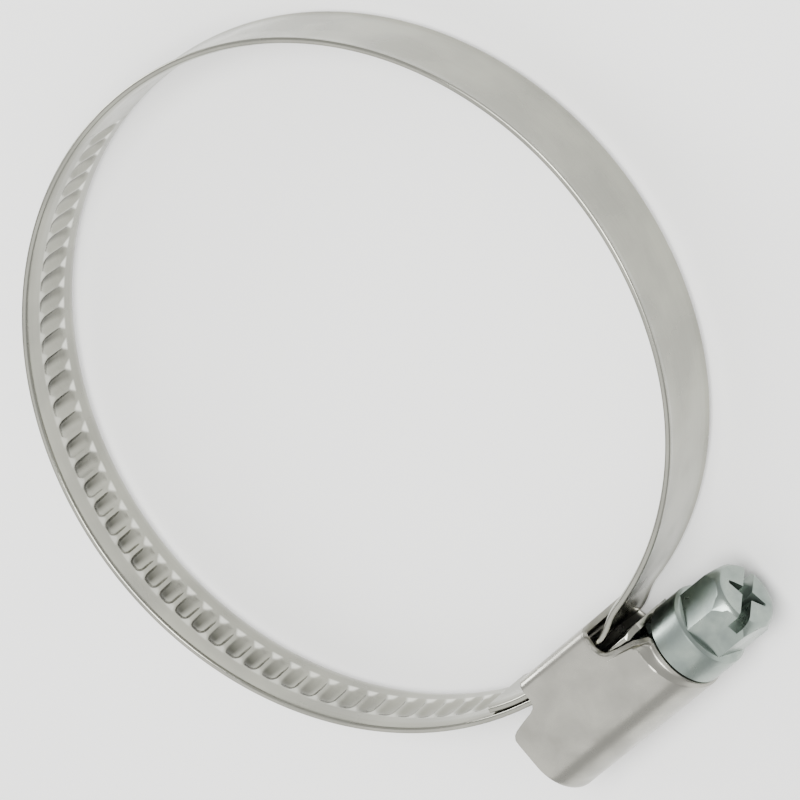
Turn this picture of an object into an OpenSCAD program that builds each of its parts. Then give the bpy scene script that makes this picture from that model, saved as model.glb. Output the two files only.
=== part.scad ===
// Worm-drive hose clamp: one steel band, one wrapped housing and one captive screw.
// Origin: centre of the ring. +Z runs along the hose, +X along the screw towards its head.
// The band is one strip, cut here into stiff links where the closing motion bends it.

/* [Band] */
// Inner radius of the round part of the ring
ring_r = 35.27; // [30:0.01:45]
// Width of the strip
band_w = 9; // [8:0.5:12]
// Thickness of the strip
band_t = 0.65; // [0.5:0.05:0.9]
// Gap left between two neighbouring links
link_gap = 0.1; // [0.05:0.01:0.2]

/* [Ribs] */
// Distance from rib to rib, which is also the lead of the worm
rib_pitch = 2.27; // [1.8:0.01:3]
// Length of one rib across the strip
rib_len = 4.4; // [3:0.1:6]
// Width of one rib at its foot
rib_foot = 1.1; // [0.8:0.05:1.3]
// Width of one rib at its top
rib_top = 0.6; // [0.4:0.05:0.8]
// Height of a rib above the strip
rib_h = 0.52; // [0.3:0.01:0.6]
// Slant of a rib across the strip, in degrees
rib_slant = 3; // [0:0.5:6]

/* [Housing] */
// Wall thickness of the wrapped sheet
wall = 0.6; // [0.5:0.05:0.8]
// Half width of the housing over its side walls
side_z = 5.25; // [5.2:0.05:6]
// Far end of the barrel that holds the screw, measured from the ring's centre line
barrel_x0 = -10; // [-11:0.1:-9.6]
// Radius of the bore that the worm turns in
bore_r = 3.98; // [3.95:0.01:4.05]

/* [Screw] */
// Outer radius of the worm thread
worm_r = 3.9; // [3.7:0.01:3.94]
// Radius of the worm core
core_r = 3.05; // [2.8:0.05:3.2]
// Radius of the collar under the head
collar_r = 4.45; // [4.2:0.05:4.8]
// Width of the hexagon across its flats
hex_af = 7; // [6:0.5:8]
// Width of the slot for a flat screwdriver
slot_w = 1.2; // [1:0.1:1.6]
// Depth of the slot
slot_d = 2; // [1:0.1:2.5]

/* [Hidden] */
steel = [0.79, 0.79, 0.77];
zinc = [0.72, 0.76, 0.74];
mid_r = ring_r + band_t / 2;

// Hinge points of the links on either side of the housing
hinge_x = 6.5;
entry_angle = 180 + acos(hinge_x / mid_r);
// The plain side tightens into a smaller arc before it enters the housing
plain_bend_start = -30;
plain_bend_shift = 3.3;
plain_bend_end = -80.2;
plain_mid_x = plain_bend_shift * cos(plain_bend_start);
plain_mid_y = plain_bend_shift * sin(plain_bend_start);

// Straight stretch of the ribbed side inside the housing
rack_y = -36.225;
rack_ramp_x = -2;
rack_end_x = 0.5;
free_end_x = 8.8;
ramp_start = [-hinge_x, -sqrt(mid_r * mid_r - hinge_x * hinge_x)];
ramp_end = [rack_ramp_x, rack_y];
ramp_len = norm(ramp_end - ramp_start);
ramp_angle = atan2(ramp_end[1] - ramp_start[1], ramp_end[0] - ramp_start[0]);
first_ramp_rib = 1;
first_flat_rib = rack_ramp_x + rib_pitch - first_ramp_rib;
first_arc_rib = 2 * rib_pitch + first_ramp_rib - ramp_len;
rib_step = rib_pitch / mid_r * 180 / PI;
first_arc_angle = entry_angle - first_arc_rib / mid_r * 180 / PI;
ribs_lower = 22;
ribs_upper = 23;

screw_y = -40.5;
arch_r = 4.65;
wall_bottom_y = -32.95;
wall_top_y = -36.9;
channel_y = wall_bottom_y - wall;
channel_x0 = -5.4;
channel_x1 = 4.3;
barrel_x1 = 9.35;
barrel_len = barrel_x1 - barrel_x0;
barrel_top_y = -36.6;
head_x = barrel_x1 + 0.1;
collar_len = 4.15;
head_len = 9.25;
chamfer_len = 1.7;
neck_x = 8.4;
worm_tip_x = -9.4;
worm_start = -8.9;
worm_turns = 7;
thread_steps = 36;
thread_phase = first_flat_rib + rib_pitch / 2;
worm_offset = thread_phase - rib_pitch * ceil((thread_phase - worm_start) / rib_pitch);

// A strip of the band's thickness and width along a polyline of middle points
function heading(p, i) =
    let (a = p[max(i - 1, 0)], b = p[min(i + 1, len(p) - 1)]) atan2(b[1] - a[1], b[0] - a[0]);
function offset_line(p, d) =
    [for (i = [0:len(p) - 1]) p[i] + d * [-sin(heading(p, i)), cos(heading(p, i))]];
function backwards(p) = [for (i = [len(p) - 1:-1:0]) p[i]];

module strip(points) {
    outline = concat(offset_line(points, -band_t / 2), backwards(offset_line(points, band_t / 2)));
    translate([0, 0, -band_w / 2]) linear_extrude(band_w) polygon(outline);
}

// A link of the round part, drawn short of both hinges by half a gap
module ring_arc(from, to) {
    gap_angle = link_gap / 2 / mid_r * 180 / PI;
    rotate([0, 0, from + gap_angle])
        rotate_extrude(angle = to - from - 2 * gap_angle, $fn = 180)
            translate([ring_r, -band_w / 2]) square([band_t, band_w]);
}

module slanted_bar(foot, top, height, length) {
    rotate([0, rib_slant, 0]) translate([0, 0, -length / 2]) linear_extrude(length)
        polygon([[-foot / 2, 0.02], [foot / 2, 0.02], [top / 2, -height], [-top / 2, -height]]);
}

// Ribs stand out of the outer face (-Y of the local frame) and leave a pocket inside
module rib() {
    translate([0, -band_t / 2, 0]) slanted_bar(rib_foot, rib_top, rib_h, rib_len);
}

module pocket() {
    translate([0, band_t / 2, 0]) slanted_bar(rib_foot - 0.2, rib_top - 0.2, rib_h, rib_len - 0.4);
}

module at_angle(a) {
    rotate([0, 0, a + 90]) translate([0, -mid_r, 0]) children();
}

module ribbed_arc(from, to, first, count) {
    angles = [for (i = [0:count - 1]) first - i * rib_step];
    difference() {
        union() {
            ring_arc(from, to);
            for (a = angles) at_angle(a) rib();
        }
        for (a = angles) at_angle(a) pocket();
    }
}

module along_x(x, length, r, sides) {
    translate([x, screw_y, 0]) rotate([0, 90, 0]) cylinder(h = length, r = r, $fn = sides);
}

// Side view of the housing: channel round the strip above, barrel for the screw below
module housing_side() {
    low = screw_y - arch_r - 0.5;
    corner = 0.6;
    polygon([[channel_x0, wall_bottom_y + 1], [channel_x0, barrel_top_y + 1.3],
             [channel_x0 - 0.25, barrel_top_y + 0.85], [channel_x0 - 0.7, barrel_top_y + 0.6],
             [barrel_x0 + corner, barrel_top_y], [barrel_x0, barrel_top_y - corner],
             [barrel_x0, low], [barrel_x1, low], [barrel_x1, barrel_top_y - 0.7],
             [channel_x1 + 1.9, barrel_top_y - 0.35], [channel_x1 + 0.6, barrel_top_y + 0.1],
             [channel_x1, barrel_top_y + 1], [channel_x1, wall_bottom_y + 1]]);
}

module housing_section(bore, grow) {
    top = wall_top_y - screw_y;
    circle(r = bore, $fn = 96);
    polygon([[top, side_z + grow], [0, bore - 0.02], [0, -bore + 0.02], [top, -side_z - grow]]);
}

module housing() {
    corner = 0.9;
    color(steel)
    difference() {
        intersection() {
            translate([barrel_x0 - 1, screw_y, 0]) rotate([0, 90, 0]) rotate([0, 0, 90])
                linear_extrude(barrel_len + 2) {
                    housing_section(arch_r, 0);
                    translate([wall_top_y - screw_y - 0.01, -side_z])
                        square([wall_bottom_y - wall_top_y - corner, 2 * side_z]);
                    translate([wall_top_y - screw_y, -side_z + corner])
                        square([wall_bottom_y - wall_top_y, 2 * (side_z - corner)]);
                    for (z = [-1, 1])
                        translate([wall_bottom_y - screw_y - corner, z * (side_z - corner)])
                            circle(r = corner, $fn = 48);
                }
            translate([0, 0, -side_z - 1]) linear_extrude(2 * side_z + 2) housing_side();
        }
        along_x(barrel_x0 - 2, barrel_len + 4, bore_r, 96);
        translate([barrel_x0 - 2, screw_y, 0]) rotate([0, 90, 0]) rotate([0, 0, 90])
            linear_extrude(barrel_len + 4) {
                polygon([[wall_top_y - screw_y, side_z - wall], [0, bore_r - 0.03],
                         [0, -bore_r + 0.03], [wall_top_y - screw_y, -side_z + wall]]);
                translate([wall_top_y - screw_y - 0.01, -side_z + wall])
                    square([channel_y - wall_top_y + 0.01, 2 * (side_z - wall)]);
            }
    }
    // Crimped lip that stands in the groove behind the screw's collar
    color(steel)
    intersection() {
        difference() {
            along_x(neck_x + 0.3, 0.45, bore_r + 0.2, 96);
            along_x(neck_x, 1, core_r + 0.35, 96);
        }
        translate([neck_x, screw_y - 5, -5]) cube([2, 4.6, 10]);
    }
}

// One ring of thread corners; the thread fades out at both ends
function thread_ring(i, total) =
    let (a = i * 360 / thread_steps,
         fade = min(1, min(i, total - i) / (thread_steps / 3)),
         crest = core_r - 0.1 + (worm_r - core_r + 0.1) * max(fade, 0.02),
         x = worm_offset + i * rib_pitch / thread_steps,
         foot = 0.6, tip = 0.26)
    [for (c = [[-foot, core_r - 0.2], [foot, core_r - 0.2], [tip, crest], [-tip, crest]])
        [x + c[0], c[1] * cos(a), c[1] * sin(a)]];

module worm_thread() {
    total = worm_turns * thread_steps;
    points = [for (i = [0:total]) each thread_ring(i, total)];
    sides = [for (i = [0:total - 1], k = [0:3])
        let (n = (k + 1) % 4) each [[4 * i + k, 4 * i + 4 + k, 4 * i + 4 + n],
                                    [4 * i + k, 4 * i + 4 + n, 4 * i + n]]];
    ends = [[0, 1, 2], [0, 2, 3], [4 * total + 2, 4 * total + 1, 4 * total],
            [4 * total + 3, 4 * total + 2, 4 * total]];
    translate([0, screw_y, 0]) polyhedron(points, concat(sides, ends));
}

module head() {
    hex_x = head_x + collar_len;
    end_x = head_x + head_len;
    corner_r = hex_af / 2 / cos(30);
    chamfer_drop = 0.85;
    cone_r = corner_r - chamfer_drop + chamfer_drop / chamfer_len * (end_x - hex_x + 0.1);
    difference() {
        union() {
            along_x(head_x, collar_len - 0.35, collar_r, 96);
            translate([hex_x - 0.35, screw_y, 0]) rotate([0, 90, 0])
                cylinder(h = 0.35, r1 = collar_r, r2 = collar_r - 0.35, $fn = 96);
            intersection() {
                translate([hex_x - 0.1, screw_y, 0]) rotate([76, 0, 0]) rotate([0, 90, 0])
                    rotate([0, 0, 90]) cylinder(h = end_x - hex_x + 0.1, r = corner_r, $fn = 6);
                translate([hex_x - 0.1, screw_y, 0]) rotate([0, 90, 0])
                    cylinder(h = end_x - hex_x + 0.1, r1 = cone_r, r2 = corner_r - chamfer_drop, $fn = 96);
            }
        }
        rotate_about_screw(28) {
            translate([end_x - slot_d, -slot_w / 2, -6]) cube([slot_d + 1, slot_w, 12]);
            // Cross recess with pointed arms, over the slot
            translate([end_x - slot_d, 0, 0]) rotate([0, 90, 0])
                linear_extrude(slot_d + 1)
                    polygon([[-0.2, -2.7], [-0.8, 0], [-0.2, 2.7], [0.2, 2.7], [0.8, 0], [0.2, -2.7]]);
        }
    }
}

module rotate_about_screw(a) {
    translate([0, screw_y, 0]) rotate([a, 0, 0]) children();
}

module screw() {
    color(zinc) {
        along_x(worm_tip_x, neck_x - worm_tip_x, core_r, 96);
        along_x(neck_x - 0.2, head_x - neck_x + 0.3, core_r + 0.15, 96);
        worm_thread();
        head();
    }
}

module band_fixed_end() {
    color(steel) {
        strip([[rack_end_x + link_gap / 2, -34.5], [3.2, -34.62], [5.1, -34.92],
               [hinge_x - link_gap / 2, -34.27]]);
        // Two weld spots hold the strip to the housing
        for (z = [-2.3, 2.3])
            translate([2.2, channel_y, z]) rotate([90, 0, 0]) cylinder(h = 0.75, r = 0.9, $fn = 48);
    }
}

module band_inner_tip() {
    color(steel)
    strip([[-10.6, -33.09], [-9.2, -33.58], [-7.7, -34.0], [-6.4, -34.28], [-5.2, -34.43],
           [-3.5, -34.5], [rack_end_x - link_gap / 2, -34.5]]);
}

module band_plain_lower() {
    gap_angle = link_gap / 2 / mid_r * 180 / PI;
    bend_r = mid_r - plain_bend_shift;
    color(steel)
    strip(concat([[hinge_x + link_gap / 2, -34.22], [7.5, -33.73]],
        [for (a = [plain_bend_end:3:plain_bend_start - 1])
            [plain_mid_x + bend_r * cos(a), plain_mid_y + bend_r * sin(a)]],
        [for (a = [plain_bend_start:3:-3]) mid_r * [cos(a), sin(a)]],
        [mid_r * [cos(gap_angle), -sin(gap_angle)]]));
}

module band_plain_upper() {
    color(steel) ring_arc(0, 90);
}

module band_ribbed_upper() {
    color(steel)
    ribbed_arc(90, 180, first_arc_angle - ribs_lower * rib_step, ribs_upper);
}

module band_ribbed_lower() {
    color(steel) ribbed_arc(180, entry_angle, first_arc_angle, ribs_lower);
}

module band_rack() {
    ramp_ribs = [for (i = [0, 1]) first_ramp_rib + i * rib_pitch];
    step = [cos(ramp_angle), sin(ramp_angle)];
    color(steel)
    difference() {
        union() {
            strip([ramp_start + link_gap / 2 * step, ramp_end, [rack_end_x - link_gap / 2, rack_y]]);
            for (d = ramp_ribs)
                translate(concat(ramp_end - d * step, 0)) rotate([0, 0, ramp_angle]) rib();
            translate([first_flat_rib, rack_y, 0]) rib();
        }
        for (d = ramp_ribs)
            translate(concat(ramp_end - d * step, 0)) rotate([0, 0, ramp_angle]) pocket();
        translate([first_flat_rib, rack_y, 0]) pocket();
    }
}

module band_free_end() {
    color(steel)
    difference() {
        union() {
            strip([[rack_end_x + link_gap / 2, rack_y], [free_end_x, rack_y]]);
            for (i = [1:3]) translate([first_flat_rib + i * rib_pitch, rack_y, 0]) rib();
        }
        for (i = [1:3]) translate([first_flat_rib + i * rib_pitch, rack_y, 0]) pocket();
        for (z = [-1, 1])
            translate([free_end_x, rack_y, z * band_w / 2]) rotate([90, 0, 0])
                rotate([0, 0, 45]) cube([2, 2, 3], center = true);
    }
}

housing();
screw();
band_fixed_end();
band_inner_tip();
band_plain_lower();
band_plain_upper();
band_ribbed_upper();
band_ribbed_lower();
band_rack();
band_free_end();
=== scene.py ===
import math

import bmesh
import bpy
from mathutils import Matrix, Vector


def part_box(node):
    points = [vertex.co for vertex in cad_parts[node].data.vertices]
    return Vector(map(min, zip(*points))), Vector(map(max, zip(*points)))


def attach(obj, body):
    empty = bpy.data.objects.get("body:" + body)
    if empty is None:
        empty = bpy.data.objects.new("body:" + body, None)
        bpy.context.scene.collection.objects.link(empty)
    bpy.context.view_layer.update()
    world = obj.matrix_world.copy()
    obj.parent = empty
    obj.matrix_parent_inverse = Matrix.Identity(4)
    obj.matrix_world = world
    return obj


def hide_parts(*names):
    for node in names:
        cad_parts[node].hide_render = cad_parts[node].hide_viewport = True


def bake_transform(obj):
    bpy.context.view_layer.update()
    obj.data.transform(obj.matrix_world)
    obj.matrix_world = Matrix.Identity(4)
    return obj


mm = 0.001
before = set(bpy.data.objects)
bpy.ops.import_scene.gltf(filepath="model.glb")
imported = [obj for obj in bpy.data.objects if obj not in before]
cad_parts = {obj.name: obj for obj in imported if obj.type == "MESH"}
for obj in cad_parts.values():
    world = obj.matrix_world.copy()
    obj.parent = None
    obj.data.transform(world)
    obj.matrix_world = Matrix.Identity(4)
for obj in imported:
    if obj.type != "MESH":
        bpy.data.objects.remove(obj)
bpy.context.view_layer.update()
bpy.ops.object.select_all(action="DESELECT")
print("frame loaded:", len(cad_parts), "nodes")

# Camera: a long lens, looking down on the clamp from the head side
cameraView = {
    "place": (295.5, -29.8, 411.6),
    "turn": (-22.85, 28.05, -46.81),
    "lens": 232.6,
    "sensor": 36,
}


def addCamera():
    place = [v * mm for v in cameraView["place"]]
    turn = [math.radians(v) for v in cameraView["turn"]]
    bpy.ops.object.camera_add(location=place, rotation=turn)
    camera = bpy.context.object
    camera.data.lens = cameraView["lens"]
    camera.data.sensor_width = cameraView["sensor"]
    camera.data.clip_start = 0.01
    bpy.context.scene.camera = camera


addCamera()
print("camera set")


def startEdit(obj):
    bpy.ops.object.select_all(action="DESELECT")
    obj.select_set(True)
    bpy.context.view_layer.objects.active = obj
    bpy.ops.object.mode_set(mode="EDIT")
    bpy.ops.mesh.select_all(action="DESELECT")


def endEdit():
    bpy.ops.object.mode_set(mode="OBJECT")


def pickPoints(test):
    # Selects the points of the mesh being edited that pass the test; returns how many.
    mesh = bmesh.from_edit_mesh(bpy.context.object.data)
    bpy.ops.mesh.select_mode(type="VERT")
    bpy.ops.mesh.select_all(action="DESELECT")
    found = 0
    for v in mesh.verts:
        if test(v.co):
            v.select_set(True)
            found += 1
    mesh.select_flush_mode()
    bmesh.update_edit_mesh(bpy.context.object.data)
    return found


def pickFaces(test):
    mesh = bmesh.from_edit_mesh(bpy.context.object.data)
    bpy.ops.mesh.select_mode(type="FACE")
    bpy.ops.mesh.select_all(action="DESELECT")
    mesh.normal_update()
    found = 0
    for f in mesh.faces:
        if test(f.calc_center_median(), f.normal):
            f.select_set(True)
            found += 1
    bmesh.update_edit_mesh(bpy.context.object.data)
    return found


def pickEdges(test):
    mesh = bmesh.from_edit_mesh(bpy.context.object.data)
    bpy.ops.mesh.select_mode(type="EDGE")
    bpy.ops.mesh.select_all(action="DESELECT")
    found = 0
    for e in mesh.edges:
        if test(e.verts[0].co, e.verts[1].co):
            e.select_set(True)
            found += 1
    bmesh.update_edit_mesh(bpy.context.object.data)
    return found


def cutAcross(axis, places):
    # Cuts the whole mesh by planes square to an axis.
    normal = [0, 0, 0]
    normal[axis] = 1
    for place in places:
        point = [0, 0, 0]
        point[axis] = place
        bpy.ops.mesh.select_mode(type="FACE")
        bpy.ops.mesh.select_all(action="SELECT")
        bpy.ops.mesh.bisect(plane_co=point, plane_no=normal)


def near(a, b, slack=0.01 * mm):
    return abs(a - b) < slack


def useModifier(obj, kind, **settings):
    bpy.ops.object.select_all(action="DESELECT")
    obj.select_set(True)
    bpy.context.view_layer.objects.active = obj
    modifier = obj.modifiers.new(kind.lower(), kind)
    for name, value in settings.items():
        setattr(modifier, name, value)
    bpy.ops.object.modifier_apply(modifier=modifier.name)


def copyOf(obj, name):
    twin = obj.copy()
    twin.data = obj.data.copy()
    twin.name = name
    bpy.context.collection.objects.link(twin)
    return twin


def joinAll(objects, name):
    bpy.ops.object.select_all(action="DESELECT")
    for obj in objects:
        obj.select_set(True)
    bpy.context.view_layer.objects.active = objects[0]
    if len(objects) > 1:
        bpy.ops.object.join()
    objects[0].name = name
    return objects[0]


def settle(obj):
    # Puts the object's place and turn into its mesh.
    bpy.ops.object.select_all(action="DESELECT")
    obj.select_set(True)
    bpy.context.view_layer.objects.active = obj
    bpy.ops.object.transform_apply(location=True, rotation=True, scale=True)


def smoothByAngle(obj, degrees):
    bpy.ops.object.select_all(action="DESELECT")
    obj.select_set(True)
    bpy.context.view_layer.objects.active = obj
    bpy.ops.object.shade_smooth_by_angle(angle=math.radians(degrees))


band = {
    "thickness": 0.65 * mm,
    "edgeRound": 0.2 * mm,       # rounding of the strip's long edges
    "rollRows": (3.55, 3.75, 3.95, 4.15),
    "rollRise": 0.2 * mm,        # how far the edges are rolled outwards
    "rollStart": 3.6 * mm,
    "plainStep": 1.2 * mm,
    "hingeX": 6.5 * mm,
    "bendShift": 3.3 * mm,       # the plain side runs into a smaller arc below the right
    "bendFrom": -30,
    "bendTo": -80.2,
    "arcStep": 2,
    "tipRun": [(-10.6, -33.09), (-9.2, -33.58), (-7.7, -34.0), (-6.4, -34.28),
               (-5.2, -34.43), (-3.5, -34.5), (0, -34.5)],
    "rootRun": [(3.2, -34.62), (4.9, -34.8), (6.2, -34.4), (7.45, -33.77)],
    "rackRun": [(-4.25, -35.6), (-2, -36.2), (-1.2, -36.225), (3, -36.225), (8.8, -36.225)],
    "freeCorner": 1.3 * mm,
}
ribs = {
    "pitch": 2.27 * mm,
    "depth": 0.5 * mm,
    "slant": 3,
    # half widths of the pocket's floor, wall and lip, then of the land round it
    "columns": (0.3, 0.62, 0.86, 0.96, 1.06),
    "sink": (1, 0.84, 0.28, 0),
    "rackColumns": (0.12, 0.28, 0.46, 0.56, 0.75),   # narrower where they mesh with the worm
    # distance from the strip's middle line: share of the depth, share of the width
    "rows": {0.0: (1, 1), 0.6: (1, 1), 1.0: (0.94, 1), 1.35: (0.78, 0.97), 1.7: (0.52, 0.9),
             2.0: (0.25, 0.78), 2.2: (0.06, 0.6), 2.36: (0, 0.4), 2.75: (0, 1), 3.1: (0, 1)},
    "firstFlat": (-0.73, -36.225),
    "before": 47,                # ribs on the ring side of the first flat one
    "after": 3,
}

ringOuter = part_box("band_plain_upper")[1].x
ringMiddle = ringOuter - band["thickness"] / 2
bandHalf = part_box("band_plain_upper")[1].z


def arcPoints(centre, radius, fromAngle, toAngle):
    count = max(2, round(abs(toAngle - fromAngle) / band["arcStep"]))
    points = []
    for i in range(count + 1):
        a = math.radians(fromAngle + (toAngle - fromAngle) * i / count)
        points.append(centre + radius * Vector((math.cos(a), math.sin(a))))
    return points


def rounded(points):
    # Cuts every corner once; the two ends stay.
    out = [points[0]]
    for a, b in zip(points, points[1:]):
        out += [a.lerp(b, 0.25), a.lerp(b, 0.75)]
    return out + [points[-1]]


def bandRoute():
    start = math.radians(band["bendFrom"])
    centre = band["bendShift"] * Vector((math.cos(start), math.sin(start)))
    entry = 180 + math.degrees(math.acos(band["hingeX"] / ringMiddle))
    route = [Vector(p) * mm for p in band["tipRun"] + band["rootRun"]]
    route += arcPoints(centre, ringMiddle - band["bendShift"], band["bendTo"], band["bendFrom"])
    route += arcPoints(Vector((0, 0)), ringMiddle, band["bendFrom"], entry)[1:]
    route += [Vector(p) * mm for p in band["rackRun"]]
    return rounded(rounded(route))


route = bandRoute()
mileage = [0]
for here, there in zip(route, route[1:]):
    mileage.append(mileage[-1] + (there - here).length)


def distanceTo(point):
    # Distance along the band of the place on it that is nearest to a point.
    point = Vector(point)
    best = min(range(len(route)), key=lambda i: (route[i] - point).length)
    return mileage[best]


def addRoute():
    curve = bpy.data.curves.new("bandRoute", "CURVE")
    curve.dimensions = "2D"
    spline = curve.splines.new("POLY")
    spline.points.add(len(route) - 1)
    for knot, p in zip(spline.points, route):
        knot.co = (p.x, p.y, 0, 1)
    obj = bpy.data.objects.new("bandRoute", curve)
    bpy.context.collection.objects.link(obj)
    return obj


def flatLength(name, length):
    # A straight piece of strip from x = 0, open at both ends, its inner face at +Y.
    t = band["thickness"]
    bpy.ops.mesh.primitive_cube_add(size=1, location=(length / 2, 0, 0),
                                    scale=(length, t, 2 * bandHalf))
    obj = bpy.context.object
    obj.name = name
    settle(obj)
    startEdit(obj)
    pickFaces(lambda c, n: abs(n.x) > 0.9)
    bpy.ops.mesh.delete(type="FACE")
    pickEdges(lambda a, b: abs(a.x - b.x) > length / 2)
    bpy.ops.mesh.bevel(offset=band["edgeRound"], offset_type="OFFSET", segments=2, affect="EDGES")
    rows = [r * mm for r in band["rollRows"]]
    cutAcross(2, rows + [-r for r in rows])
    for row in rows + [bandHalf]:
        rise = band["rollRise"] * ((row - band["rollStart"]) / (bandHalf - band["rollStart"]))
        if row == bandHalf:
            count = pickPoints(lambda c: abs(c.z) > rows[-1] + 0.02 * mm)
        else:
            count = pickPoints(lambda c: near(abs(c.z), row))
        if count:
            bpy.ops.transform.translate(value=(0, -max(rise, 0), 0))
    endEdit()
    return obj


def addRibTile(widths):
    # One pitch of ribbed strip: a pocket in the inner face, standing out as a rib behind.
    p = ribs["pitch"]
    tile = flatLength("ribTile", p)
    startEdit(tile)
    bpy.ops.mesh.select_all(action="SELECT")
    bpy.ops.transform.translate(value=(-p / 2, 0, 0))
    rows = {side * r * mm: share for r, share in ribs["rows"].items()
            for side in ((1, -1) if r else (1,))}
    cutAcross(2, rows)
    columns = [c * mm for c in widths]
    cutAcross(0, columns + [-c for c in columns] + [0])
    lean = math.tan(math.radians(ribs["slant"]))
    sink = [(0, 1)] + list(zip(columns, ribs["sink"]))
    for row, (deep, wide) in rows.items():
        inRow = lambda c: near(c.z, row) and abs(c.x) < columns[-1] + 0.01 * mm
        for column, share in sink:
            drop = ribs["depth"] * share * deep
            if drop > 0.001 * mm:
                pickPoints(lambda c: inRow(c) and near(abs(c.x), column))
                bpy.ops.transform.translate(value=(0, -drop, 0))
        pickPoints(lambda c: inRow(c) and 0.01 * mm < abs(c.x) < columns[3] + 0.01 * mm)
        bpy.ops.transform.resize(value=(wide, 1, 1), center_override=(0, 0, row))
        if deep:
            pickPoints(inRow)
            bpy.ops.transform.translate(value=(lean * row, 0, 0))
    endEdit()
    useModifier(tile, "SUBSURF", levels=1, render_levels=1)
    shadeTile(tile)
    return tile


def ramp(value, low, high):
    return min(1, max(0, (value - low) / (high - low)))


def shadeTile(tile):
    # Two shares per point, for painting shade into the pockets and a highlight onto the lands, so that the painted
    # shading moves with the metal
    shade = tile.data.attributes.new("pocketShade", "FLOAT", "POINT")
    highlightShare = tile.data.attributes.new("landHighlightShare", "FLOAT", "POINT")
    for vertex in tile.data.vertices:
        x, y, z = vertex.co
        if y < -0.25 * mm:
            continue
        # Painted shade: only where the face is sunk, darker on one wall of each pocket and towards one edge of the
        # strip, fading out at the pocket's ends
        sunk = ramp(band["thickness"] / 2 - y, 0.02 * mm, 0.2 * mm)
        oneWall = ramp(x, 0.41 * mm, -0.11 * mm)
        towardsEdge = 0.4 + 0.6 * ramp(z, -1.8 * mm, 0.6 * mm)
        ends = ramp(abs(z), 2.4 * mm, 1.9 * mm)
        shade.data[vertex.index].value = sunk * oneWall * towardsEdge * ends
        # Painted highlight on the lands between the pockets, in a band near each edge of the strip, weaker towards +Z
        widening = 0.54 * max(0, abs(z) - 1.3 * mm)
        between = ramp(abs(x) + widening, 0.98 * mm, 1.22 * mm)
        stretch = ramp(abs(z), 1.2 * mm, 1.6 * mm) * ramp(abs(z), 2.45 * mm, 2.3 * mm)
        highlightShare.data[vertex.index].value = between * stretch * (1 - 0.55 * ramp(z, -0.5 * mm, 0.5 * mm))


def plainRun(name, fromU, toU):
    count = max(1, round((toU - fromU) / band["plainStep"]))
    run = flatLength(name, (toU - fromU) / count)
    useModifier(run, "SUBSURF", levels=1, render_levels=1)
    useModifier(run, "ARRAY", count=count, use_relative_offset=True, use_merge_vertices=True,
                merge_threshold=0.002 * mm)
    shift(run, fromU)
    return run


def shift(obj, distance):
    obj.location.x += distance
    settle(obj)


def ribRun(tile, name, firstRib, lastRib):
    run = copyOf(tile, name)
    useModifier(run, "ARRAY", count=lastRib - firstRib + 1, use_relative_offset=False,
                use_constant_offset=True, constant_offset_displace=(ribs["pitch"], 0, 0),
                use_merge_vertices=True, merge_threshold=0.002 * mm)
    shift(run, ribPlace(firstRib))
    return run


def ribPlace(index):
    return distanceTo([v * mm for v in ribs["firstFlat"]]) + index * ribs["pitch"]


def closeEnds(obj):
    startEdit(obj)
    bpy.ops.mesh.select_all(action="SELECT")
    bpy.ops.mesh.remove_doubles(threshold=0.004 * mm)
    bpy.ops.mesh.select_mode(type="EDGE")
    bpy.ops.mesh.select_all(action="DESELECT")
    bpy.ops.mesh.select_non_manifold()
    bpy.ops.mesh.edge_face_add()
    bpy.ops.mesh.select_all(action="SELECT")
    bpy.ops.mesh.normals_make_consistent(inside=False)
    endEdit()


def bendOnRoute(obj, guide):
    useModifier(obj, "CURVE", object=guide, deform_axis="POS_X")
    smoothByAngle(obj, 50)


def onRing(degrees):
    a = math.radians(degrees)
    return (ringMiddle * math.cos(a), ringMiddle * math.sin(a))


def tileEdge(degrees):
    # The rib boundary nearest to an angle on the ring, as the index of the rib after it.
    u = distanceTo(onRing(degrees))
    return round((u - ribPlace(0)) / ribs["pitch"] + 0.5)


def addBand():
    guide = addRoute()
    tile, rackTile = addRibTile(ribs["columns"]), addRibTile(ribs["rackColumns"])
    firstRib = -ribs["before"]
    topCut, leftCut, rackCut = tileEdge(135), tileEdge(220), -1
    boundary = lambda rib: ribPlace(rib) - ribs["pitch"] / 2
    rootCut = distanceTo((3.2 * mm, -34.62 * mm))
    lowCut, highCut = distanceTo(onRing(-37)), distanceTo(onRing(45))
    pieces = {
        "bandInnerTip": [plainRun("run", 0, rootCut)],
        "bandRoot": [plainRun("run", rootCut, lowCut)],
        "bandRight": [plainRun("run", lowCut, highCut)],
        "bandTop": [plainRun("run", highCut, boundary(firstRib)),
                    ribRun(tile, "run", firstRib, topCut - 1)],
        "bandLeft": [ribRun(tile, "run", topCut, leftCut - 1)],
        "bandEntry": [ribRun(tile, "run", leftCut, rackCut - 1)],
        "bandFreeEnd": [ribRun(rackTile, "run", rackCut, ribs["after"]),
                        plainRun("run", boundary(ribs["after"] + 1), mileage[-1])],
    }
    made = {}
    for name, runs in pieces.items():
        piece = joinAll(runs, name)
        closeEnds(piece)
        if name == "bandFreeEnd":
            trimFreeEnd(piece)
        bendOnRoute(piece, guide)
        made[name] = piece
    bpy.data.objects.remove(guide)
    bpy.data.objects.remove(tile)
    bpy.data.objects.remove(rackTile)
    return made


def trimFreeEnd(obj):
    # Cuts both corners off the free end of the strip.
    startEdit(obj)
    corner = band["freeCorner"]
    for side in (-1, 1):
        bpy.ops.mesh.select_mode(type="FACE")
        bpy.ops.mesh.select_all(action="SELECT")
        bpy.ops.mesh.bisect(plane_co=(mileage[-1] - corner, 0, side * bandHalf),
                            plane_no=(1, 0, side), use_fill=True, clear_outer=True)
    endEdit()


def point(x, y):
    return (x * mm, y * mm, 0)


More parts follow.
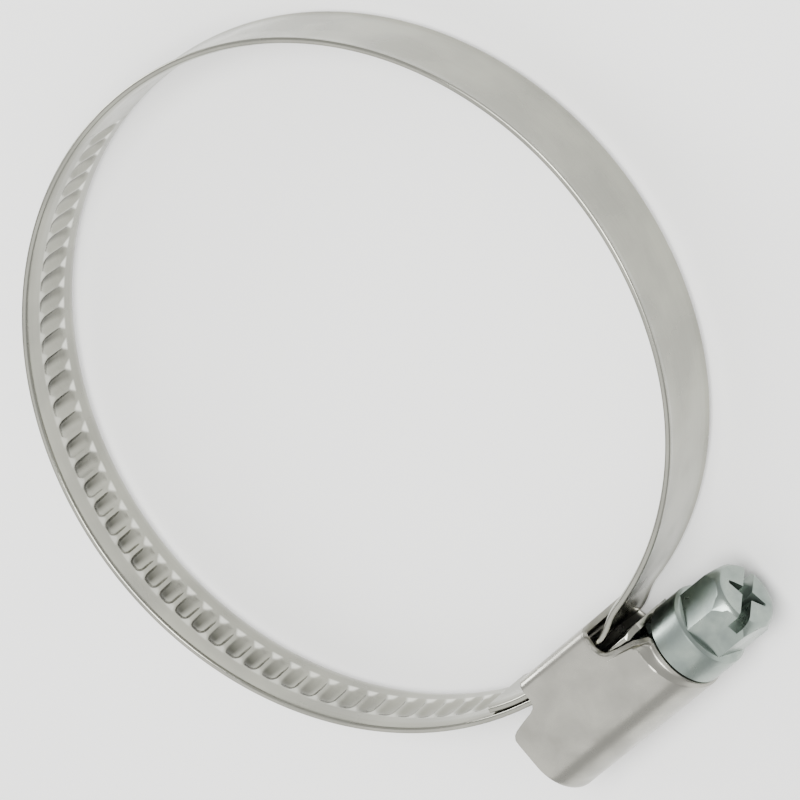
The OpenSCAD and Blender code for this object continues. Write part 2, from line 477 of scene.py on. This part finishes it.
bandPieces = addBand()
stands = {
    "bandInnerTip": ["band_inner_tip"],
    "bandRoot": ["band_fixed_end"],
    "bandRight": ["band_plain_lower"],
    "bandTop": ["band_plain_upper"],
    "bandLeft": ["band_ribbed_upper"],
    "bandEntry": ["band_ribbed_lower"],
    "bandFreeEnd": ["band_rack", "band_free_end"],
}
for name, piece in bandPieces.items():
    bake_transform(piece)
    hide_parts(*stands[name])
    print(name, len(piece.data.polygons), "faces")
print("band made")


housing = {
    "wall": 0.6 * mm,
    "archRadius": 4.65 * mm,
    "screwY": -40.5 * mm,
    "cornerRadius": 1.1 * mm,
    "mouthRadius": 4.52 * mm,
    "edgeRound": 0.2 * mm,
    "creaseShare": 0.9,
    "lengths": (0, 0.02, 0.06, 0.15, 0.3, 0.45, 0.6, 0.75, 0.86, 0.888, 0.9, 0.908, 0.93,
                0.952, 0.962, 0.98, 1),
    "joggle": 0.58,              # share of the mouth over which the sheet steps in
    "lipFlare": 0.1 * mm,
}


def between(table, y):
    # Straight-line look-up in a list of (y, value) pairs that falls in y.
    if y >= table[0][0]:
        return table[0][1]
    for (y0, v0), (y1, v1) in zip(table, table[1:]):
        if y >= y1:
            return v0 + (v1 - v0) * (y - y0) / (y1 - y0)
    return table[-1][1]


# Where the sheet ends at each height, as seen from the side
farEnd = [(-32.9, -5.4), (-34.9, -5.4), (-35.5, -5.55), (-35.85, -5.85), (-36.05, -6.4),
          (-36.3, -7.9), (-36.55, -9.1), (-36.8, -9.65), (-37.2, -9.95), (-37.7, -10)]
headEnd = [(-32.9, 4.4), (-34.3, 4.35), (-35.2, 4.2), (-35.9, 4.4), (-36.35, 4.75),
           (-36.7, 5.3), (-36.95, 6.2), (-37.15, 7.6), (-37.3, 9.1), (-37.6, 9.35)]

# The head end is pressed in from this crease to the round mouth
crease = [(-37.25, 8.13), (-39.9, 8.12), (-41.6, 8.41), (-42.9, 8.71), (-44, 9.05), (-45.2, 9.2)]


def sectionPoints():
    # Outer outline of the sheet across the clamp, from the middle of the seat wall to the arch.
    low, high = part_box("housing")
    top, side = high.y, high.z
    r = housing["cornerRadius"]
    points = [(top, side * share) for share in (0, 0.25, 0.5, 0.7)]
    for i in range(7):
        a = math.radians(90 - 15 * i)
        points.append((top - r + r * math.sin(a), side - r + r * math.cos(a)))
    for y in (-34.6, -35.1, -35.5, -35.85, -36.05, -36.3, -36.55, -36.8, -36.95, -37.2,
              -37.45, -37.8, -38.4, -39.0, -39.6, -40.1):
        points.append((y * mm, side))
    radius, centre = housing["archRadius"], housing["screwY"]
    for degrees in range(0, 91, 6):
        a = math.radians(degrees)
        points.append((centre - radius * math.sin(a), side * math.cos(a)))
    return points


def alongSheet(share, y):
    # Place along the housing of a share of its length, and how far the mouth is pressed in there
    start, end = between(farEnd, y / mm) * mm, between(headEnd, y / mm) * mm
    edge = housing["creaseShare"]
    near = min(max((-37.1 * mm - y) / (0.5 * mm), 0), 1)
    fold = start + (end - start) * edge
    fold += (min(between(crease, y / mm) * mm, end - 0.1 * mm) - fold) * near
    if share <= edge:
        return start + (fold - start) * share / edge, 0
    t = (share - edge) / (1 - edge)
    return fold + (end - fold) * t, near * min(t / housing["joggle"], 1)


def lipFlare(share, y, z):
    # The edge of the notch at the head side is rolled a little outwards
    if share > 0.97 and -36.9 * mm < y < -33.4 * mm:
        return housing["lipFlare"] * (share - 0.97) / 0.03 * (1 if z > 0 else -1)
    return 0


def addHousing():
    half = sectionPoints()
    around = half + [(y, -z) for y, z in reversed(half[1:-1])]
    count = len(around)
    bpy.ops.mesh.primitive_cylinder_add(vertices=count, radius=1, depth=1, end_fill_type="NOTHING",
                                        location=(0.5, 0, 0), rotation=(0, math.pi / 2, 0))
    obj = bpy.context.object
    obj.name = "housingSheet"
    settle(obj)
    startEdit(obj)
    cutAcross(0, housing["lengths"][1:-1])
    mesh = bmesh.from_edit_mesh(obj.data)
    for v in mesh.verts:
        y, z = around[round(math.atan2(v.co.z, v.co.y) / (2 * math.pi) * count) % count]
        x, pull = alongSheet(v.co.x, y)
        offset = Vector((y - housing["screwY"], z + lipFlare(v.co.x, y, z)))
        mouth = offset.normalized() * housing["mouthRadius"]
        offset = offset.lerp(mouth, pull)
        v.co = (x, housing["screwY"] + offset.x, offset.y)
    bmesh.update_edit_mesh(obj.data)
    bpy.ops.mesh.select_all(action="SELECT")
    bpy.ops.mesh.normals_make_consistent(inside=False)
    endEdit()
    useModifier(obj, "SOLIDIFY", thickness=housing["wall"], offset=-1, use_even_offset=False)
    useModifier(obj, "BEVEL", width=housing["edgeRound"], segments=2, limit_method="ANGLE",
                angle_limit=math.radians(50))
    smoothByAngle(obj, 60)
    useModifier(obj, "WEIGHTED_NORMAL", keep_sharp=True)
    return obj


sheet = addHousing()
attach(sheet, "housing")
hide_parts("housing")
print("housing made", len(sheet.data.polygons), "faces")


screw = {
    "y": -40.5 * mm,
    "collarStart": 9.45 * mm,
    "collarRadius": 4.45 * mm,
    "collarChamfer": 0.35 * mm,
    "hexStart": 13.35 * mm,
    "hexFlats": 7.15 * mm,
    "hexTurn": 76,               # where one corner of the hexagon stands, from +Y towards +Z
    "chamferLength": 1.7 * mm,
    "chamferDrop": 0.85 * mm,
    "headBevel": 0.11 * mm,
    "slotWidth": 1.15 * mm,
    "slotDepth": 1.9 * mm,
    "slotTurn": 118,
    "crossLength": 5.4 * mm,
    "crossWidth": 1.6 * mm,
    "wormRadius": 3.9 * mm,
    "coreRadius": 3.05 * mm,
    "neckRadius": 3.2 * mm,
    "wormStart": -8.6 * mm,
    "wormTurns": 7,
    "wormTip": -9.4 * mm,
}


def lathe(name, outline, steps=96):
    # Spins a list of (x, radius) points round the screw's axis.
    bpy.ops.mesh.primitive_plane_add(size=1)
    obj = bpy.context.object
    obj.name = name
    startEdit(obj)
    mesh = bmesh.from_edit_mesh(obj.data)
    bmesh.ops.delete(mesh, geom=mesh.verts[:], context="VERTS")
    knots = [mesh.verts.new((x, screw["y"] + r, 0)) for x, r in outline]
    for a, b in zip(knots, knots[1:]):
        mesh.edges.new((a, b))
    bmesh.update_edit_mesh(obj.data)
    bpy.ops.mesh.select_all(action="SELECT")
    bpy.ops.mesh.spin(steps=steps, angle=2 * math.pi, center=(0, screw["y"], 0), axis=(1, 0, 0))
    bpy.ops.mesh.select_all(action="SELECT")
    bpy.ops.mesh.remove_doubles(threshold=0.003 * mm)
    bpy.ops.mesh.normals_make_consistent(inside=False)
    endEdit()
    return obj


def addHead():
    s = screw
    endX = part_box("screw")[1].x
    cornerRadius = s["hexFlats"] / 2 / math.cos(math.radians(30))
    bpy.ops.mesh.primitive_cylinder_add(vertices=6, radius=cornerRadius,
                                        depth=endX - s["hexStart"] + 1 * mm,
                                        location=((endX + s["hexStart"] - 1 * mm) / 2, s["y"], 0),
                                        rotation=(0, math.pi / 2, 0))
    hexagon = bpy.context.object
    hexagon.name = "screwHead"
    settle(hexagon)
    startEdit(hexagon)
    corner = max((v.co.copy() for v in bmesh.from_edit_mesh(hexagon.data).verts), key=lambda c: c.y)
    turnAbout(s["hexTurn"] - math.degrees(math.atan2(corner.z, corner.y - s["y"])), endX)
    endEdit()
    top = cornerRadius - s["chamferDrop"]
    dome = lathe("dome", [(s["hexStart"] - 2 * mm, 0), (s["hexStart"] - 2 * mm, cornerRadius + 1 * mm),
                          (endX - s["chamferLength"] * 1.6, cornerRadius + 0.45 * mm),
                          (endX - s["chamferLength"], cornerRadius),
                          (endX - 0.45 * mm, top + 0.28 * mm), (endX - 0.12 * mm, top), (endX, top - 0.35 * mm),
                          (endX, 0)])
    useModifier(hexagon, "BOOLEAN", operation="INTERSECT", object=dome, solver="EXACT")
    bpy.data.objects.remove(dome)
    for cutter in recessCutters(endX):
        useModifier(hexagon, "BOOLEAN", operation="DIFFERENCE", object=cutter, solver="EXACT")
        bpy.data.objects.remove(cutter)
    useModifier(hexagon, "BEVEL", width=s["headBevel"], segments=2, limit_method="ANGLE",
                angle_limit=math.radians(30))
    smoothByAngle(hexagon, 60)
    useModifier(hexagon, "WEIGHTED_NORMAL", keep_sharp=True)
    return hexagon


def recessCutters(endX):
    # A driver slot right across the face and a cross recess with pointed arms over it.
    s = screw
    deep = s["slotDepth"]
    slot = cutterBlock(endX, deep, s["slotWidth"], 12 * mm, s["slotTurn"])
    arms = cutterBlock(endX, deep * 1.1, s["crossWidth"], s["crossLength"], s["slotTurn"] + 90, 0.25)
    return [slot, arms]


def cutterBlock(endX, depth, width, length, turn, point=None):
    # A block that is sunk into the end face; its long side lies at an angle from +Y to +Z.
    bpy.ops.mesh.primitive_cube_add(size=1, location=(endX, screw["y"], 0),
                                    scale=(2 * depth, width, length))
    cutter = bpy.context.object
    settle(cutter)
    startEdit(cutter)
    if point:
        cutAcross(2, [0])
        pickPoints(lambda c: abs(c.z) > length * 0.4)
        bpy.ops.transform.resize(value=(1, point, 1), center_override=(endX, screw["y"], 0))
        pickPoints(lambda c: c.x < endX)
        bpy.ops.transform.resize(value=(1, 0.6, 0.5), center_override=(endX, screw["y"], 0))
        pickPoints(lambda c: c.x > endX)
        bpy.ops.transform.resize(value=(1, 1.2, 1.2), center_override=(endX, screw["y"], 0))
    turnAbout(turn - 90, endX)
    endEdit()
    return cutter


def turnAbout(degrees, x):
    # Turns the mesh being edited about the screw's axis, from +Y towards +Z.
    bpy.ops.mesh.select_all(action="SELECT")
    bpy.ops.transform.rotate(value=-math.radians(degrees), orient_axis="X", orient_type="GLOBAL",
                             center_override=(x, screw["y"], 0))


def addCollar():
    s = screw
    end = s["hexStart"]
    start = s["collarStart"]
    r = s["collarRadius"]
    c = s["collarChamfer"]
    collar = lathe("screwCollar", [(start, 0), (start, r - 0.15 * mm), (start + 0.12 * mm, r), (end - c * 1.3, r),
                                   (end - c * 0.75, r - 0.05 * mm), (end - 0.05 * mm, r - c * 0.9),
                                   (end + 0.02 * mm, r - c * 1.2), (end + 0.02 * mm, 0)])
    smoothByAngle(collar, 35)
    return collar


def addWorm():
    s = screw
    p = ribs["pitch"]
    core, crest = s["coreRadius"], s["wormRadius"]
    startX = s["wormStart"]
    worm = lathe("screwShank", [(s["wormTip"], 0), (s["wormTip"], core - 0.5 * mm), (s["wormTip"] + 0.4 * mm, core - 0.1 * mm),
                                (8.4 * mm, core - 0.1 * mm), (8.5 * mm, s["neckRadius"]),
                                (s["collarStart"] + 0.05 * mm, s["neckRadius"]), (s["collarStart"] + 0.05 * mm, 0)], 64)
    smoothByAngle(worm, 40)
    bpy.ops.mesh.primitive_plane_add(size=1)
    thread = bpy.context.object
    thread.name = "screwThread"
    startEdit(thread)
    mesh = bmesh.from_edit_mesh(thread.data)
    bmesh.ops.delete(mesh, geom=mesh.verts[:], context="VERTS")
    outline = [(-0.62, core - 0.3 * mm), (-0.58, core), (-0.27, crest - 0.06 * mm), (-0.2, crest),
               (0.2, crest), (0.27, crest - 0.06 * mm), (0.58, core), (0.62, core - 0.3 * mm)]
    knots = [mesh.verts.new((x * mm, r, 0)) for x, r in outline]
    for a, b in zip(knots, knots[1:] + knots[:1]):
        mesh.edges.new((a, b))
    bmesh.update_edit_mesh(thread.data)
    endEdit()
    useModifier(thread, "SCREW", axis="X", angle=2 * math.pi, screw_offset=p, iterations=s["wormTurns"],
                steps=40, render_steps=40, use_merge_vertices=True, merge_threshold=0.001 * mm)
    thread.location = (startX + 0.13 * mm, s["y"], 0)
    settle(thread)
    closeEnds(thread)
    smoothByAngle(thread, 40)
    return [worm, thread]


screwPieces = [addHead(), addCollar()] + addWorm()
for piece in screwPieces:
    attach(piece, "screw")
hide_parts("screw")
print("screw made")


def newMaterial(name, color, roughness, metallic=1.0):
    material = bpy.data.materials.new(name)
    material.use_nodes = True
    shader = material.node_tree.nodes["Principled BSDF"]
    shader.inputs["Base Color"].default_value = (*color, 1)
    shader.inputs["Roughness"].default_value = roughness
    shader.inputs["Metallic"].default_value = metallic
    return material, material.node_tree, shader


def paint(objects, material):
    for obj in objects:
        obj.data.materials.clear()
        obj.data.materials.append(material)


def addNode(tree, kind, links=(), **values):
    # A node with some of its inputs set and others linked.
    node = tree.nodes.new("ShaderNode" + kind)
    for name, value in values.items():
        if hasattr(node, name):
            setattr(node, name, value)
        else:
            node.inputs[name].default_value = value
    for name, source in dict(links).items():
        tree.links.new(source, node.inputs[name])
    return node


def startGroup(name, inputs, outputs):
    group = bpy.data.node_groups.new(name, "ShaderNodeTree")
    for socket, kind, value in inputs:
        made = group.interface.new_socket(socket, in_out="INPUT", socket_type=kind)
        made.default_value = value
    for socket, kind in outputs:
        group.interface.new_socket(socket, in_out="OUTPUT", socket_type=kind)
    return group, group.nodes.new("NodeGroupInput"), group.nodes.new("NodeGroupOutput")


def mixColors(tree, share, first, second):
    mix = tree.nodes.new("ShaderNodeMix")
    mix.data_type = "RGBA"
    tree.links.new(share, mix.inputs[0])
    tree.links.new(first, mix.inputs[6])
    tree.links.new(second, mix.inputs[7])
    return mix.outputs[2]


def spread(tree, value, low, high, toLow=0.0, toHigh=1.0):
    node = tree.nodes.new("ShaderNodeMapRange")
    tree.links.new(value, node.inputs[0])
    for i, number in enumerate((low, high, toLow, toHigh)):
        node.inputs[i + 1].default_value = number
    return node.outputs[0]


metalOutputs = [("Base Color", "NodeSocketColor"), ("Roughness", "NodeSocketFloat"), ("Height", "NodeSocketFloat")]
metalInputs = [("Light", "NodeSocketColor", (0.5, 0.5, 0.5, 1)), ("Dark", "NodeSocketColor", (0.3, 0.3, 0.3, 1)),
               ("Gloss", "NodeSocketFloat", 0.2), ("Dull", "NodeSocketFloat", 0.4)]


def doMath(tree, operation, first, second):
    node = tree.nodes.new("ShaderNodeMath")
    node.operation = operation
    for socket, value in zip(node.inputs, (first, second)):
        if isinstance(value, float):
            socket.default_value = value
        else:
            tree.links.new(value, socket)
    return node.outputs[0]


def ribShare(tree, name):
    attribute = addNode(tree, "Attribute")
    attribute.attribute_name = name
    return attribute.outputs["Fac"]


def makeRolledFinish():
    # Fine streaks that run round the ring, with slow cloudy changes of sheen, plus painted shade in the rib pockets and
    # a painted highlight on the lands between them.
    # The last two inputs are the colours of the painted pocket shade and of the painted land highlight
    inputs = metalInputs + [("PaintedPocketShade", "NodeSocketColor", (0.1, 0.1, 0.1, 1)),
                            ("PaintedLandHighlight", "NodeSocketColor", (0.7, 0.7, 0.7, 1))]
    group, given, result = startGroup("rolledFinish", inputs, metalOutputs)
    place = addNode(group, "TexCoord").outputs["Object"]
    parts = addNode(group, "SeparateXYZ", {"Vector": place})
    turn = doMath(group, "ARCTAN2", parts.outputs["Y"], parts.outputs["X"])
    unrolled = addNode(group, "CombineXYZ", {"X": turn, "Y": parts.outputs["Z"]})
    stretch = addNode(group, "Mapping", {"Vector": unrolled.outputs[0]}, Scale=(3, 4200, 1))
    streaks = addNode(group, "TexNoise", {"Vector": stretch.outputs[0]}, Scale=1.0, Detail=3.0)
    clouds = addNode(group, "TexNoise", {"Vector": place}, Scale=130.0, Detail=3.0)
    specks = addNode(group, "TexNoise", {"Vector": place}, Scale=900.0, Detail=4.0)
    streakShare = spread(group, streaks.outputs[0], 0.35, 0.68)
    cloudShare = spread(group, clouds.outputs[0], 0.38, 0.62)
    speckShare = spread(group, specks.outputs[0], 0.25, 0.75)
    sheen = doMath(group, "ADD", doMath(group, "MULTIPLY", cloudShare, 0.6),
                   spread(group, streaks.outputs[0], 0.3, 0.7, 0.1, 0.3))
    color = mixColors(group, sheen, given.outputs["Dark"], given.outputs["Light"])
    # The painted pocket shade is darker beside the ring than below it
    beside = spread(group, parts.outputs["Y"], -27 * mm, -14 * mm, 0.3, 1.0)
    dark = doMath(group, "MULTIPLY", ribShare(group, "pocketShade"), beside)
    color = mixColors(group, dark, color, given.outputs["PaintedPocketShade"])
    # Painted highlight on the lands between the pockets
    color = mixColors(group, ribShare(group, "landHighlightShare"), color, given.outputs["PaintedLandHighlight"])
    rough = addNode(group, "MapRange", {"Value": cloudShare, "To Min": given.outputs["Dull"],
                                        "To Max": given.outputs["Gloss"]})
    relief = doMath(group, "ADD", doMath(group, "MULTIPLY", speckShare, 0.5),
                    doMath(group, "MULTIPLY", streakShare, 0.4))
    group.links.new(color, result.inputs["Base Color"])
    group.links.new(rough.outputs[0], result.inputs["Roughness"])
    group.links.new(relief, result.inputs["Height"])
    return group


def makeMottledFinish():
    # Uneven patches and small dents, for pressed sheet and for plating.
    inputs = metalInputs + [("Patches", "NodeSocketFloat", 300.0), ("Grain", "NodeSocketFloat", 2500.0)]
    group, given, result = startGroup("mottledFinish", inputs, metalOutputs)
    place = addNode(group, "TexCoord").outputs["Object"]
    patches = addNode(group, "TexNoise", {"Vector": place, "Scale": given.outputs["Patches"]},
                      Detail=5.0, Distortion=0.3)
    grain = addNode(group, "TexNoise", {"Vector": place, "Scale": given.outputs["Grain"]}, Detail=3.0)
    share = spread(group, patches.outputs[0], 0.32, 0.68)
    color = mixColors(group, share, given.outputs["Dark"], given.outputs["Light"])
    rough = addNode(group, "MapRange", {"Value": share, "To Min": given.outputs["Dull"],
                                        "To Max": given.outputs["Gloss"]})
    relief = doMath(group, "ADD", doMath(group, "MULTIPLY", grain.outputs[0], 0.35), patches.outputs[0])
    group.links.new(color, result.inputs["Base Color"])
    group.links.new(rough.outputs[0], result.inputs["Roughness"])
    group.links.new(relief, result.inputs["Height"])
    return group


finishes = {
    "bandSteel": {"Light": (0.335, 0.335, 0.29), "Dark": (0.25, 0.25, 0.22), "Gloss": 0.15, "Dull": 0.3,
                  # the next two colours are the painted shade in the rib pockets and the painted highlight on the lands
                  "PaintedPocketShade": (0.06, 0.06, 0.05), "PaintedLandHighlight": (0.7, 0.7, 0.65), "relief": 0.008 * mm},
    "sheetSteel": {"Light": (0.36, 0.355, 0.315), "Dark": (0.28, 0.275, 0.245), "Gloss": 0.22, "Dull": 0.36,
                   "Patches": 260.0, "Grain": 2400.0, "relief": 0.02 * mm},
    "zincPlate": {"Light": (0.275, 0.32, 0.285), "Dark": (0.19, 0.225, 0.21), "Gloss": 0.24, "Dull": 0.4,
                  "Patches": 420.0, "Grain": 2600.0, "relief": 0.025 * mm},
}


def addFinish(name, group):
    values = finishes[name]
    material, tree, shader = newMaterial(name, values["Light"], values["Gloss"])
    finish = tree.nodes.new("ShaderNodeGroup")
    finish.node_tree = group
    for socket, value in values.items():
        if socket != "relief":
            finish.inputs[socket].default_value = (*value, 1) if isinstance(value, tuple) else value
    bump = addNode(tree, "Bump", {"Height": finish.outputs["Height"]}, Strength=0.5, Distance=values["relief"])
    tree.links.new(finish.outputs["Base Color"], shader.inputs["Base Color"])
    tree.links.new(finish.outputs["Roughness"], shader.inputs["Roughness"])
    tree.links.new(bump.outputs["Normal"], shader.inputs["Normal"])
    return material


rolled, mottled = makeRolledFinish(), makeMottledFinish()
paint(bandPieces.values(), addFinish("bandSteel", rolled))
paint([sheet], addFinish("sheetSteel", mottled))
paint(screwPieces, addFinish("zincPlate", mottled))
print("materials made")


stageSet = {
    "floorSize": 3,
    "floorColor": (0.98, 0.98, 0.975),
    "world": (1, 1, 1),
    "worldStrength": 0.9,
}
lights = {
    # name: place, aimed at, size, power, colour
    "overhead": ((0.3, 0.05, 0.9), (0, 0, 0), 0.6, 14, (1, 1, 0.98)),
    "throughRing": ((-0.42, 0.72, 0.22), (0.02, -0.04, 0), 0.4, 5, (1, 1, 1)),
    "farLeft": ((-0.66, -0.25, 0.8), (0, 0, 0), 1.3, 5, (1, 0.99, 0.97)),
}


def addStage():
    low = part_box("housing")[0].z
    bpy.ops.mesh.primitive_plane_add(size=stageSet["floorSize"], location=(0, 0, low))
    floor = bpy.context.object
    floor.name = "floor"
    material, tree, shader = newMaterial("paleFloor", stageSet["floorColor"], 0.8, 0)
    paint([floor], material)
    world = bpy.data.worlds.new("studio")
    bpy.context.scene.world = world
    world.use_nodes = True
    background = world.node_tree.nodes["Background"]
    background.inputs["Color"].default_value = (*stageSet["world"], 1)
    background.inputs["Strength"].default_value = stageSet["worldStrength"]


def addLights():
    for name, (place, aim, size, power, color) in lights.items():
        way = Vector(aim) - Vector(place)
        bpy.ops.object.light_add(type="AREA", location=place,
                                 rotation=way.to_track_quat("-Z", "Y").to_euler())
        light = bpy.context.object
        light.name = name
        light.data.shape = "DISK"
        light.data.size = size
        light.data.energy = power
        light.data.color = color


addStage()
addLights()
print("stage set")
